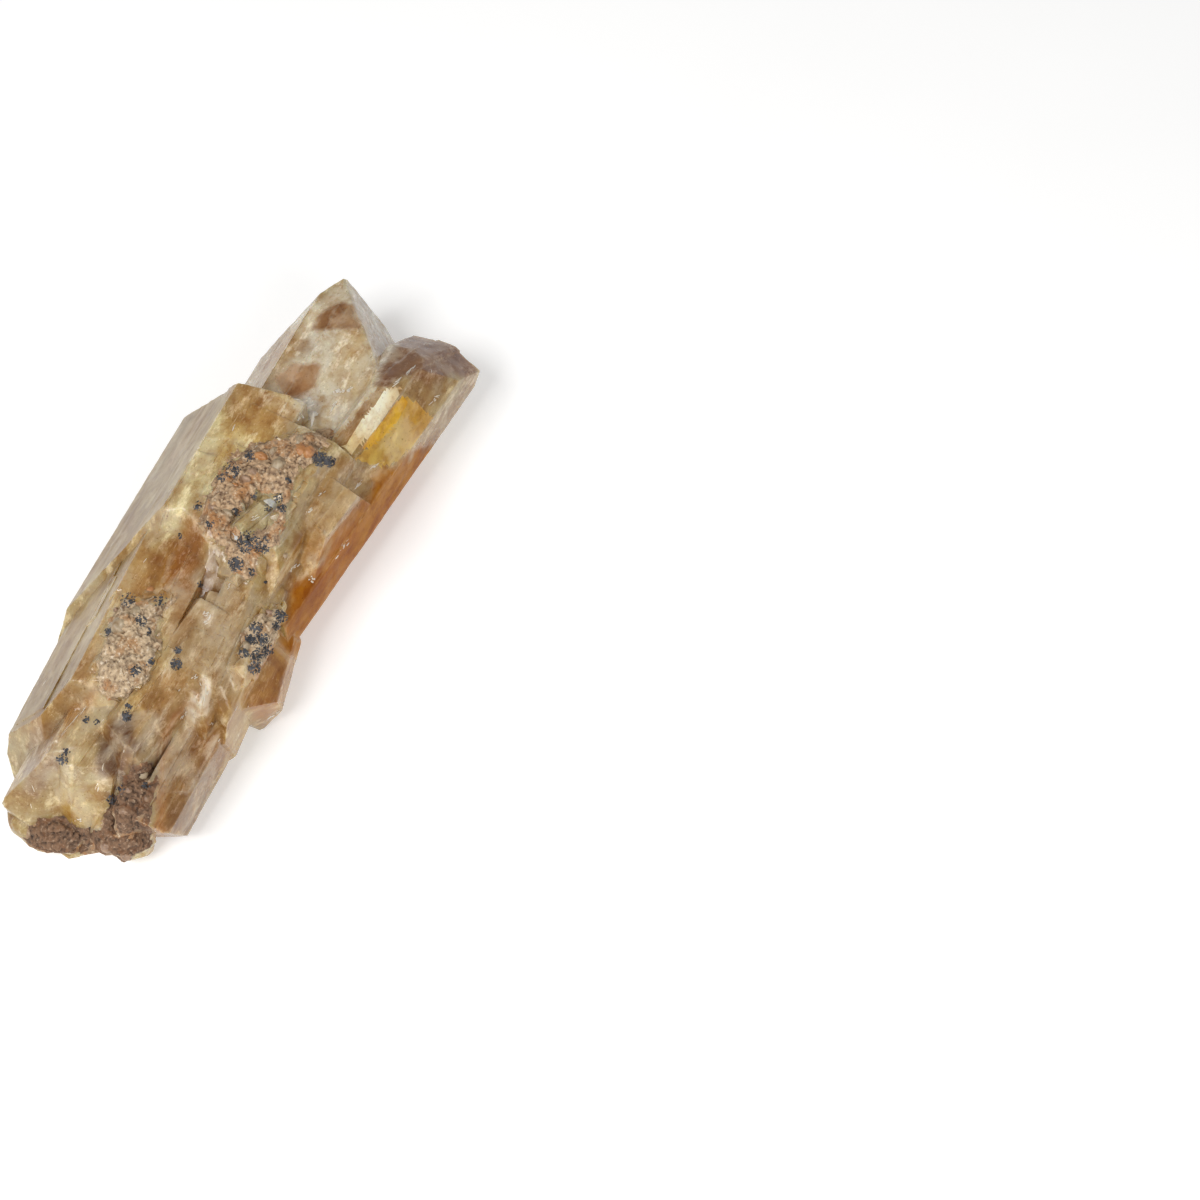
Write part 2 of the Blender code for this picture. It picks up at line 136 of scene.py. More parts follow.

# What the crystals are tinted with, from the whole specimen down to single stains, with a few painted
# reflections, glows and glints among them. Each zone is an outline in the photograph, its colour, how fully
# it covers, how many pixels its edge takes, and how clear it is. An edge wanders by a share of the pixels
# that it takes. A zone whose edge takes none is cut into the faces, because the photograph shows it sharp.
BODY = daylight(208, 188, 138)
BODY_CLEAR = 0.46
ZONE_SWAY = 0.9
ZONES = (
    dict(outline=((12, 715), (200, 405), (250, 384), (300, 420), (160, 640), (60, 800)),
         colour=(218, 192, 142), cover=0.7, edge=14, clear=0.45),
    dict(outline=((205, 400), (262, 384), (280, 420), (240, 470), (200, 545), (150, 560), (190, 470)),
         colour=(236, 222, 170), cover=0.85, edge=9, clear=0.36),
    dict(outline=((226, 384), (262, 380), (300, 420), (262, 428), (228, 415)),
         colour=(206, 168, 112), cover=0.7, edge=6, clear=0.39),
    dict(outline=((198, 500), (214, 520), (205, 565), (190, 600), (160, 590), (158, 560), (176, 535)),
         colour=(164, 106, 38), cover=0.85, edge=8, clear=0.31),
    dict(outline=((160, 545), (180, 540), (170, 590), (130, 640), (112, 622), (135, 585)),
         colour=(176, 126, 50), cover=0.75, edge=9, clear=0.36),
    dict(outline=((204, 556), (246, 560), (250, 650), (232, 720), (190, 760), (150, 790), (108, 786),
                  (92, 740), (140, 700), (172, 650)),
         colour=(162, 126, 90), cover=0.6, edge=16, clear=0.45),
    dict(outline=((60, 640), (105, 640), (95, 700), (60, 730), (40, 700)),
         colour=(172, 134, 82), cover=0.75, edge=14, clear=0.39),
    dict(outline=((245, 375), (300, 310), (345, 280), (405, 335), (385, 390), (335, 440), (290, 420),
                  (255, 390)),
         colour=(246, 238, 216), cover=0.92, edge=8, clear=0.36),
    dict(outline=((245, 385), (285, 325), (300, 330), (285, 380), (270, 400)),
         colour=(190, 158, 112), cover=0.75, edge=9, clear=0.39),
    dict(outline=((310, 331), (318, 316), (332, 304), (354, 303), (364, 320), (360, 330), (338, 329)),
         colour=(150, 100, 42), cover=0.92, edge=2, clear=0.2),
    dict(outline=((352, 298), (372, 294), (404, 336), (398, 364), (378, 380), (368, 350), (362, 320)),
         colour=(250, 246, 236), cover=0.8, edge=6, clear=0.5),
    dict(outline=((298, 341), (308, 338), (314, 350), (302, 355)),
         colour=(158, 112, 58), cover=0.7, edge=4, clear=0.31),
    dict(outline=((274, 380), (292, 364), (322, 366), (318, 386), (300, 402), (282, 394)),
         colour=(166, 108, 42), cover=0.88, edge=3, clear=0.2),
    # White crushed fan at the back crystal's foot, partly painted glints.
    dict(outline=((288, 402), (316, 396), (322, 412), (300, 424)),
         colour=(252, 248, 238), cover=0.9, edge=5, clear=0.4),
    dict(outline=((374, 386), (388, 356), (412, 328), (440, 330), (482, 366), (476, 378), (452, 374),
                  (430, 388), (404, 374), (388, 390)),
         colour=(150, 104, 62), cover=0.95, edge=4, clear=0.3),
    dict(outline=((405, 374), (445, 380), (440, 402), (425, 412), (408, 400)),
         colour=(196, 170, 132), cover=0.7, edge=6, clear=0.51),
    dict(outline=((474, 370), (456, 396), (434, 422), (424, 440), (400, 460), (388, 476), (398, 488),
                  (462, 420), (486, 384)),
         colour=(196, 174, 144), cover=0.85, edge=3, clear=0.39),
    dict(outline=((404, 396), (416, 402), (433, 418), (412, 446), (396, 462), (380, 467), (355, 459),
                  (372, 446), (390, 424)),
         colour=(212, 176, 78), cover=0.95, edge=0, clear=0.23),
    # Painted glow of light passing through the right crystal: its golden strip.
    dict(outline=((397, 401), (404, 396), (408, 405), (388, 434), (372, 447), (360, 449), (380, 424)),
         colour=(228, 182, 48), cover=0.95, edge=0, clear=0.16),
    dict(outline=((408, 408), (411, 411), (389, 444), (386, 441)),
         colour=(176, 112, 40), cover=0.85, edge=1, clear=0.23),
    # Painted reflection: the cream face on the right crystal's left bevel, where light glances off.
    dict(outline=((386, 389), (402, 386), (396, 400), (376, 429), (352, 453), (343, 447), (354, 431)),
         colour=(240, 236, 212), cover=0.95, edge=0, clear=0.05),
    dict(outline=((377, 387), (386, 389), (354, 431), (343, 447), (333, 441), (345, 428)),
         colour=(172, 134, 86), cover=0.8, edge=0, clear=0.25),
    dict(outline=((330, 458), (392, 466), (366, 510), (338, 542), (305, 600), (282, 590), (300, 500)),
         colour=(190, 154, 100), cover=0.85, edge=8, clear=0.45),
    dict(outline=((250, 650), (298, 636), (290, 725), (262, 728), (244, 700)),
         colour=(190, 140, 62), cover=0.9, edge=4, clear=0.39),
    dict(outline=((166, 628), (176, 580), (198, 572), (206, 590), (186, 632), (172, 650)),
         colour=(178, 142, 104), cover=0.7, edge=7, clear=0.4),
    dict(outline=((199, 616), (208, 606), (217, 610), (213, 624), (203, 626)),
         colour=(216, 196, 170), cover=0.6, edge=4, clear=0.25),
    dict(outline=((158, 674), (172, 668), (176, 684), (164, 692)),
         colour=(220, 204, 178), cover=0.7, edge=4, clear=0.2),
    dict(outline=((228, 668), (244, 664), (247, 686), (236, 692)),
         colour=(206, 178, 134), cover=0.8, edge=2, clear=0.15),
    dict(outline=((176, 712), (198, 690), (202, 696), (184, 722), (164, 738)),
         colour=(160, 106, 58), cover=0.75, edge=4, clear=0.3),
    dict(outline=((42, 738), (60, 716), (96, 688), (104, 694), (72, 728), (50, 748)),
         colour=(176, 126, 62), cover=0.75, edge=5, clear=0.35),
    dict(outline=((18, 712), (52, 690), (60, 708), (40, 738), (20, 750)),
         colour=(200, 176, 124), cover=0.7, edge=7, clear=0.4),
    dict(outline=((56, 786), (104, 780), (110, 812), (84, 826), (60, 822)),
         colour=(212, 186, 120), cover=0.7, edge=6, clear=0.35),
    dict(outline=((90, 764), (112, 758), (116, 784), (98, 796)),
         colour=(228, 212, 184), cover=0.65, edge=5, clear=0.25),
    dict(outline=((166, 726), (204, 716), (214, 744), (192, 770), (172, 760)),
         colour=(204, 180, 130), cover=0.75, edge=6, clear=0.35),
    dict(outline=((186, 700), (192, 690), (200, 706), (196, 738), (184, 746)),
         colour=(232, 228, 214), cover=0.7, edge=3, clear=0.2),
    dict(outline=((100, 735), (128, 712), (142, 745), (118, 782), (98, 775)),
         colour=(104, 70, 56), cover=0.85, edge=9, clear=0.35),
    dict(outline=((198, 716), (203, 676), (211, 680), (208, 716)),
         colour=(236, 228, 212), cover=0.9, edge=2, clear=0.12),
    dict(outline=((22, 790), (30, 730), (62, 715), (58, 765), (38, 800)),
         colour=(184, 164, 142), cover=0.8, edge=4, clear=0.35),
    dict(outline=((160, 842), (172, 745), (212, 720), (232, 750), (186, 842)),
         colour=(152, 104, 48), cover=0.8, edge=6, clear=0.42),
    dict(outline=((152, 842), (160, 745), (176, 710), (168, 760), (164, 842)),
         colour=(158, 98, 40), cover=0.75, edge=4, clear=0.2),
)

# Inside an outline the faces towards the right are amber, a painted glow of light through the crystal and
# painted
# shade on that side: that colour and how clear they are, how fully it covers, the y of a face's direction
# below which it counts, over how much of it the colour comes in, and how many pixels its edge takes.
PAINTED_AMBER_GLOW = (*daylight(166, 106, 18), 0.05)
AMBER_COVER = 0.97
AMBER_OUTLINE = ((438, 442), (412, 452), (387, 466), (359, 502), (333, 534), (310, 566), (292, 588),
                 (274, 634), (300, 664), (470, 500))
AMBER_FACING = -0.45
AMBER_TURN = 0.3
AMBER_EDGE = 9.0

# Sharp edges show paler, as chipped wear and a painted edge highlight, by this share of the way to that pale
# colour.
EDGE_WEAR_AND_HIGHLIGHT = daylight(240, 228, 200)
WEAR_AND_HIGHLIGHT_SHARE = 0.3

# Inside an outline the faces towards the left are a cooler grey, a painted reflection sheen, in the same
# terms.
# It comes in with the y of a face's direction and with how far the face looks up.
PAINTED_SIDE_SHEEN = (*daylight(148, 126, 84), 0.15)
SHEEN_COVER = 0.75
SHEEN_FACING = 0.35
SHEEN_TURN = 0.4
SHEEN_RISE = 0.3
SHEEN_EDGE = 20
SHEEN_OUTLINE = ((0, 720), (96, 540), (180, 405), (232, 378), (215, 440), (150, 560), (70, 715), (24, 760))

# Patches of crust: an outline in the photograph, how thick the grains lie, in millimetres, and which stone
# it is.
CRUSTS = {
    "upper_crust": dict(
        outline=((330, 424), (338, 430), (332, 446), (318, 460), (298, 480), (292, 506), (286, 530),
                 (280, 548), (264, 556), (260, 572), (244, 582), (228, 576), (222, 556), (210, 538),
                 (196, 526), (196, 504), (214, 470), (236, 446), (262, 436), (292, 430)),
        grain=0.42, stone="crust"),
    "lower_crust": dict(
        outline=((186, 586), (176, 604), (162, 626), (163, 650), (152, 672), (146, 690), (128, 702),
                 (108, 702), (92, 688), (98, 652), (104, 622), (118, 600), (140, 596), (164, 600)),
        grain=0.42, stone="bleached"),
    "side_crust": dict(
        outline=((274, 602), (288, 606), (284, 628), (274, 648), (262, 672), (248, 670), (246, 652),
                 (236, 644), (240, 626), (256, 612)),
        grain=0.36, stone="bleached"),
    "foot_crust": dict(
        outline=((18, 836), (28, 818), (50, 811), (76, 820), (96, 826), (104, 806), (112, 786), (130, 764),
                 (150, 756), (160, 766), (158, 800), (156, 842), (140, 860), (104, 874), (78, 858),
                 (20, 856)),
        grain=0.5, stone="matrix"),
}

# How ragged the patches' edges are and how far inside them the faces below are stone too, in pixels, how
# much a face has to look at the camera to carry crust, and the depth that stands for none.
CRUST_RAGGED = 7
CRUST_DEPTH = 6
CRUST_FACING = 0.05
NO_CRUST = -99.0

# The shell of a patch: how often it is smoothed and divided, and down to which length. In millimetres, how
# wide its rim is, how high it stands without grains, how deep its rim is sunk and how low it may reach.
# Edges are sharp from SHELL_CREASE degrees.
SHELL_SMOOTHINGS = 4
SHELL_DIVISIONS = 3
GRAIN_CELL = 0.17
SHELL_RIM = 1.1
SHELL_LIFT = 0.12
RIM_SUNK = 0.1
SHELL_LOWEST = 0.02
SHELL_CREASE = 60

# The crust's grains, from coarse to fine: the size of each kind, in millimetres, and its share of the
# height. Fine rubble adds the rest.
GRAIN_SIZES = ((1.3, 0.14), (0.62, 0.3), (0.32, 0.34))
RUBBLE_SHARE = 0.3

# The height that the crusts' colours take on the stone faces below the shells.
BARE_RELIEF = (0.4, 0.4, 0.4, 1.0)

# The order of the crystals' materials.
BARITE_FACES = 0
STONE_FACES = 1
AMBER_FACES = 2

# Each stone's colours: painted shade in the hollows, lighter grain tops as painted light, and where it is
# rusty or pale.
STONES = {
    "crust": ((96, 70, 50), (188, 158, 124), (166, 114, 64), (218, 200, 172)),
    "bleached": ((106, 82, 60), (194, 170, 138), (160, 118, 76), (228, 214, 192)),
    "matrix": ((50, 34, 24), (124, 94, 70), (112, 72, 40), (170, 144, 118)),
}

# The clear crystal that lies in the upper crust: its ends, its width and how far it stands out, the corners
# of its section in halves of the two, its sections as (place along it, share of the full size), how wavy it
# is, and its tint with how clear it is. The crust leaves an outline free round it.
CRUST_CRYSTAL = dict(
    foot=Vector((-1.4, -0.3, 18.5)),
    tip=Vector((5.2, -2.6, 19.5)),
    width=2.5,
    depth=2.2,
    corners=((0.45, 1), (1, 0.25), (1, -1), (-1, -1), (-1, 0.1), (-0.4, 1)),
    sections=((-0.5, 0.6), (-0.4, 1.0), (0.36, 1.0), (0.5, 0.5)),
    waves=0.03,
    tint=(*daylight(240, 240, 226), 0.3),
)
CRUST_GAP = ((236, 524), (262, 492), (278, 498), (270, 516), (246, 536))

# Clusters of dark beads: the pixel that each lies at, how far it spreads, in pixels, and a count that
# stands for BEADS_PER_COUNT times as many beads.
BEADS = (
    ((320, 459), 8, 60), ((330, 462), 6, 34), ((249, 456), 6, 22), ((232, 470), 9, 34), ((221, 478), 5, 12),
    ((198, 506), 5, 12), ((210, 524), 5, 14), ((236, 512), 5, 12), ((254, 496), 4, 8), ((278, 498), 5, 12),
    ((282, 508), 5, 14), ((268, 508), 4, 8), ((288, 480), 4, 8), ((248, 542), 12, 62), ((236, 564), 8, 52),
    ((262, 548), 7, 26), ((251, 572), 4, 10), ((266, 540), 4, 6), ((128, 600), 8, 18), ((160, 600), 7, 16),
    ((109, 632), 5, 16), ((140, 622), 7, 18), ((148, 632), 4, 8), ((134, 670), 7, 18), ((150, 662), 5, 10),
    ((281, 616), 7, 34), ((276, 626), 5, 16), ((256, 628), 7, 30), ((262, 640), 8, 40), ((250, 640), 6, 22),
    ((244, 652), 6, 20), ((258, 656), 8, 40), ((268, 650), 6, 20), ((254, 668), 7, 36), ((176, 664), 6, 34),
    ((178, 650), 4, 14), ((126, 716), 6, 24), ((128, 706), 4, 8), ((86, 720), 4, 8), ((97, 722), 3, 4),
    ((62, 760), 6, 18), ((66, 752), 4, 8), ((112, 800), 6, 14), ((120, 790), 5, 8), ((146, 786), 4, 8),
    ((200, 584), 3, 7), ((266, 582), 2, 3), ((180, 536), 3, 5),
)
BEADS_PER_COUNT = 2.5

# The beads: their radius in millimetres, how it is scaled in the middle of a cluster and how much less at
# its edge, how they crowd, how much of the radius is sunk, and the height that they start from.
BEAD_RADIUS = (0.06, 0.17)
MIDDLE_BEAD = 1.15
BEAD_TAPER = 0.5
BEAD_CROWDING = 0.6
BEAD_SUNK = 0.2
LOWEST_BEAD = 0.4

# Pale cleavage flakes and crushed lines, pale slivers that also stand in for glints as painted highlights:
# the pixels of both ends, and the half width in millimetres. Each is made of slivers, whose length and width
# are shares of its own, and which are thinner than wide.
FLAKES_AND_GLINTS = (
    ((289, 407), (301, 418), 0.5), ((296, 405), (313, 417), 0.5), ((303, 403), (318, 409), 0.4),
    ((292, 413), (298, 420), 0.5), ((336, 395), (342, 388), 0.3), ((345, 393), (352, 386), 0.25),
    ((328, 417), (336, 402), 0.14), ((331, 411), (338, 404), 0.1), ((395, 384), (404, 374), 0.12),
    ((404, 377), (414, 366), 0.12), ((430, 405), (441, 396), 0.16), ((318, 496), (327, 490), 0.13),
    ((306, 513), (313, 508), 0.2), ((336, 556), (348, 541), 0.14), ((341, 548), (349, 538), 0.1),
    ((310, 581), (315, 577), 0.22), ((291, 572), (297, 564), 0.12), ((227, 590), (230, 583), 0.08),
    ((200, 618), (208, 611), 0.18), ((204, 624), (214, 616), 0.16), ((212, 612), (218, 607), 0.12),
    ((190, 678), (199, 676), 0.1), ((181, 718), (188, 711), 0.12), ((199, 712), (203, 684), 0.2),
    ((204, 704), (208, 682), 0.16), ((268, 718), (280, 712), 0.16), ((97, 790), (103, 768), 0.12),
    ((74, 821), (80, 818), 0.16), ((210, 725), (214, 722), 0.14), ((196, 745), (208, 741), 0.08),
    ((370, 470), (380, 463), 0.1), ((356, 488), (364, 478), 0.1), ((250, 521), (259, 515), 0.12),
    ((62, 735), (86, 706), 0.06), ((141, 470), (166, 432), 0.06), ((232, 430), (236, 422), 0.08),
)
FLAKE_PARTS = 6
PART_LENGTH = (0.15, 0.5)
PART_WIDTH = (0.25, 0.6)
FLAKE_THICKNESS = 0.4

# More slivers, pale painted glints, are strewn over all sides: how many are tried, how long and half how wide
# they are, in millimetres, how far they turn from the long axis sideways and upwards, and the height that
# they start from.
STREWN = dict(tries=60, length=(0.15, 0.9), half_width=(0.03, 0.08), sideways=0.5, upwards=0.2, lowest=1.5)

# Single grains on the crusts, as (pixel, radius in millimetres, kind), how each half axis is stretched, and
# how much of the radius is sunk.
PEBBLES = (
    ((281, 466), 1.0, "clear"), ((262, 456), 0.9, "rusty"), ((274, 450), 0.7, "clear"),
    ((302, 448), 0.8, "rusty"), ((309, 452), 1.0, "rusty"), ((300, 440), 0.6, "clear"),
    ((244, 478), 0.8, "earth"), ((252, 470), 0.7, "earth"), ((118, 627), 1.1, "clear"),
    ((136, 612), 0.9, "clear"), ((150, 590), 0.7, "rusty"), ((116, 610), 0.6, "earth"),
    ((246, 646), 0.7, "clear"), ((270, 612), 0.5, "earth"), ((228, 512), 0.7, "clear"),
    ((212, 508), 0.7, "earth"), ((128, 790), 0.7, "earth"), ((142, 776), 0.7, "clear"),
    ((122, 812), 0.7, "earth"), ((146, 800), 0.6, "earth"), ((104, 846), 0.8, "earth"),
    ((128, 856), 0.7, "earth"), ((236, 486), 0.6, "rusty"), ((286, 556), 0.5, "clear"),
)
PEBBLE_STRETCH = (0.6, 1.1)
PEBBLE_SUNK = 0.5

# The larger grains' and the flakes' materials, the flakes' pale colours being painted glints: a name, the
# colours from dark to light, and how much light goes through.
PEBBLE_LOOKS = {
    "clear": ("clear_grains", daylight(166, 136, 100), daylight(216, 198, 166), 0.4),
    "rusty": ("rusty_grains", daylight(150, 88, 40), daylight(206, 150, 92), 0.15),
    "earth": ("earthy_grains", daylight(108, 80, 60), daylight(172, 140, 112), 0.0),
}
FLAKE_AND_GLINT_LOOK = ("pale_flakes_and_painted_glints", daylight(232, 222, 200), daylight(252, 248, 240), 0.4)


def sight():
    """The photograph's camera as (place, right, up, towards the viewer)."""
    azimuth, elevation = math.radians(AZIMUTH), math.radians(ELEVATION)
    level = math.cos(elevation)
    back = Vector((math.sin(azimuth) * level, -math.cos(azimuth) * level, math.sin(elevation)))
    right = Vector((math.cos(azimuth), math.sin(azimuth), 0))
    up = back.cross(right)
    ray = right * (AIM_PX[0] - FRAME_PX / 2) + up * (FRAME_PX / 2 - AIM_PX[1]) - back * FOCAL_PX
    return AIM_POINT - ray * (DISTANCE / FOCAL_PX), right, up, back


PLACE, RIGHT, UP, BACK = sight()


def ray_through(pixel):
    """The direction in which the camera sees a pixel."""
    across = RIGHT * (pixel[0] - FRAME_PX / 2)
    upwards = UP * (FRAME_PX / 2 - pixel[1])
    return (across + upwards - BACK * FOCAL_PX).normalized()


def pixels_of(points):
    """Where the photograph shows each of these points, as an array of pixels."""
    seen = np.asarray(points) - np.array(PLACE)
    depth = -(seen @ np.array(BACK))
    across = FRAME_PX / 2 + FOCAL_PX * (seen @ np.array(RIGHT)) / depth
    down = FRAME_PX / 2 - FOCAL_PX * (seen @ np.array(UP)) / depth
    return np.stack([across, down], axis=1)


def depth_inside(pixels, outline):
    """How far each pixel lies inside a closed outline, in pixels. It is negative outside."""
    near = np.full(len(pixels), np.inf)
    inside = np.zeros(len(pixels), bool)
    corners = [np.array(corner, float) for corner in outline]
    for start, end in zip(corners, corners[1:] + corners[:1]):
        side = end - start
        along = np.clip(((pixels - start) @ side) / (side @ side), 0, 1)
        near = np.minimum(near, np.linalg.norm(pixels - start - along[:, None] * side, axis=1))
        crosses = (start[1] > pixels[:, 1]) != (end[1] > pixels[:, 1])
        if side[1]:
            inside ^= crosses & (pixels[:, 0] < start[0] + (pixels[:, 1] - start[1]) / side[1] * side[0])
    return np.where(inside, near, -near)


def smooth(values):
    """Eases 0 to 1 in and out, and holds what lies beyond at the ends."""
    values = np.clip(values, 0, 1)
    return values * values * (3 - 2 * values)


def fractal(points, scale, seed, octaves=3):
    """Seeded noise at each point, about -1 to 1. scale is per axis."""
    offset = Vector((seed * 17.3, seed * 5.1, seed * 9.7))
    values = []
    for p in points:
        scaled = Vector((p[0] * scale[0], p[1] * scale[1], p[2] * scale[2]))
        values.append(noise.fractal(scaled + offset, 1.0, 2.0, octaves))
    return np.array(values)


def grain_height(point):
    """How high the crust's grains stand at a point, about 0 to 1, from coarse to fine."""
    height = 0.0
    for size, share in GRAIN_SIZES:
        nearest = noise.voronoi(point / size)[0][0]
        height += share * max(0.0, 1 - nearest * nearest * 1.7)
    return height + RUBBLE_SHARE * (0.5 + noise.fractal(point * 2.6, 0.7, 2.1, 5))


def packed_mesh():
    """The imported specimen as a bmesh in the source's frame and millimetres, its points joined."""
    bm = bmesh.new()
    bm.from_mesh(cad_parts["barite_crystal"].data)
    bmesh.ops.scale(bm, vec=(1 / MM,) * 3, verts=bm.verts)
    bmesh.ops.translate(bm, vec=-CENTRING, verts=bm.verts)
    bmesh.ops.remove_doubles(bm, verts=bm.verts, dist=0.001)
    return bm


def divide(bm):
    """Cuts every face along a grid, which keeps all the edges where they are, and along the sharp zones."""
    flat = math.radians(FLAT_ANGLE)
    bmesh.ops.dissolve_limit(
        bm, angle_limit=flat, verts=bm.verts, edges=bm.edges, use_dissolve_boundaries=False
    )
    for axis in range(3):
        low = min(vert.co[axis] for vert in bm.verts)
        high = max(vert.co[axis] for vert in bm.verts)
        normal = Vector([float(axis == k) for k in range(3)])
        for step in range(1, math.ceil((high - low) / CELL)):
            geometry = bm.verts[:] + bm.edges[:] + bm.faces[:]
            place = normal * (low + step * CELL)
            bmesh.ops.bisect_plane(bm, geom=geometry, dist=ON_CUT, plane_co=place, plane_no=normal)
    for zone in ZONES:
        if not zone["edge"]:
            cut_outline(bm, zone["outline"])
    bmesh.ops.remove_doubles(bm, verts=bm.verts, dist=JOIN_REACH)
    bmesh.ops.dissolve_degenerate(bm, edges=bm.edges, dist=0.01)
    bmesh.ops.triangulate(bm, faces=bm.faces)


def cut_outline(bm, outline):
    """Cuts the faces that the photograph sees under an outline along its sides."""
    for start, end in zip(outline, outline[1:] + outline[:1]):
        faces = list(bm.faces)
        pixels = pixels_of([face.calc_center_median() for face in faces])
        near = depth_inside(pixels, (start, end, start))
        chosen = []
        for face, depth in zip(faces, near):
            if depth > -CUT_REACH and face.normal.dot(BACK) > 0:
                chosen.append(face)
        edges = {edge for face in chosen for edge in face.edges}
        verts = {vert for face in chosen for vert in face.verts}
        across = ray_through(start).cross(ray_through(end)).normalized()
        geometry = list(verts) + list(edges) + chosen
        bmesh.ops.bisect_plane(bm, geom=geometry, dist=ON_CUT, plane_co=PLACE, plane_no=across)


def weather(bm):
    """Moves the faces a little, as growth left them, and chips the edges between them. It returns how far
    each point is paled, as chipped wear and a painted edge highlight: 0 away from the sharp edges and up to 1
    on them."""
    bm.normal_update()
    verts = list(bm.verts)
    points = [vert.co.copy() for vert in verts]
    normals = [vert.normal.copy() for vert in verts]
    long_waves = fractal(points, (0.1, 0.9, 0.9), 1)
    ripples = fractal(points, (0.9, 1.6, 1.6), 2)
    chips = fractal(points, (1.1, 1.1, 1.1), 3)
    paled_edges = []
    for vert, normal, wave, ripple, chip in zip(verts, normals, long_waves, ripples, chips):
        sharp = max((edge.calc_face_angle(0.0) for edge in vert.link_edges), default=0.0)
        paled_edges.append(float(sharp > math.radians(CREASE)) * (0.55 + 0.6 * chip))
        if vert.co.z < UNDERSIDE:
            continue
        move = WEAVE * wave + RIPPLE * ripple
        if sharp > math.radians(CREASE):
            move -= CHIP * max(0.0, chip)
            others = [edge.other_vert(vert).co for edge in vert.link_edges]
            around = sum(others, Vector()) / len(others)
            vert.co = vert.co.lerp(around, ROUNDING * (0.5 + 0.5 * chip))
        vert.co += normal * move
    return np.clip(paled_edges, 0, 1)


def mesh_object(name, bm, *materials, crease=CREASE):
    """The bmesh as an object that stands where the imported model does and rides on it."""
    bmesh.ops.translate(bm, vec=CENTRING, verts=bm.verts)
    bmesh.ops.scale(bm, vec=(MM,) * 3, verts=bm.verts)
    mesh = bpy.data.meshes.new(name)
    bm.to_mesh(mesh)
    bm.free()
    mesh.shade_smooth()
    mesh.set_sharp_from_angle(angle=math.radians(crease))
    for material in materials:
        mesh.materials.append(material)
    obj = bpy.data.objects.new(name, mesh)
    bpy.context.scene.collection.objects.link(obj)
    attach(obj, "root")
    return obj


def colour_layer(mesh, name, colours, domain="POINT"):
    """Stores one colour for each point, or for each corner, under that name."""
    layer = mesh.color_attributes.new(name, "FLOAT_COLOR", domain)
    layer.data.foreach_set("color", np.asarray(colours, np.float32).ravel())


def zone_tint(zone):
    """A zone's colour and clearness, as four numbers."""
    return np.array((*daylight(*zone["colour"]), zone["clear"]))


def tint_of(points, normals):
    """Colour and clearness at each point of the crystals, as an array of four numbers each."""
    pixels = pixels_of(points)
    sway = np.stack([fractal(points, (0.5, 0.5, 0.5), 4), fractal(points, (0.5, 0.5, 0.5), 5)], axis=1)
    tint = np.tile(np.array((*BODY, BODY_CLEAR)), (len(points), 1))
    for zone in ZONES:
        if not zone["edge"]:
            continue
        moved = pixels + sway * zone["edge"] * ZONE_SWAY
        cover = zone["cover"] * smooth(0.5 + depth_inside(moved, zone["outline"]) / zone["edge"] / 2)
        tint += cover[:, None] * (zone_tint(zone) - tint)
    # Painted reflection sheen: a cooler grey on the faces towards the left.
    facing_left = smooth((normals[:, 1] - SHEEN_FACING) / SHEEN_TURN) * smooth(normals[:, 2] / SHEEN_RISE)
    painted_sheen = SHEEN_COVER * facing_left * smooth(0.5 + depth_inside(pixels, SHEEN_OUTLINE) / SHEEN_EDGE)
    tint += painted_sheen[:, None] * (np.array(PAINTED_SIDE_SHEEN) - tint)
    # Painted glow and shade: amber on the faces towards the right.
    facing_right = smooth(0.5 + (AMBER_FACING - normals[:, 1]) / AMBER_TURN)
    amber_depth = depth_inside(pixels + sway * AMBER_EDGE, AMBER_OUTLINE)
    painted_amber_glow = AMBER_COVER * facing_right * smooth(0.5 + amber_depth / AMBER_EDGE / 2)
    tint += painted_amber_glow[:, None] * (np.array(PAINTED_AMBER_GLOW) - tint)
    return tint


def sharp_tint(mesh, tint):
    """The points' tint on the mesh's corners, with the sharp zones laid over whole faces."""
    corner_points = np.array([loop.vertex_index for loop in mesh.loops])
    corner_faces = np.repeat(np.arange(len(mesh.polygons)), [len(face.vertices) for face in mesh.polygons])
    corners = tint[corner_points]
    middles = np.array([tuple(face.center / MM - CENTRING) for face in mesh.polygons])
    seen = np.array([face.normal.dot(BACK) > 0 for face in mesh.polygons])
    pixels = pixels_of(middles)
    for zone in ZONES:
        if not zone["edge"]:
            inside = seen & (depth_inside(pixels, zone["outline"]) > 0)
            corners += (zone["cover"] * inside[corner_faces])[:, None] * (zone_tint(zone) - corners)
    return corners


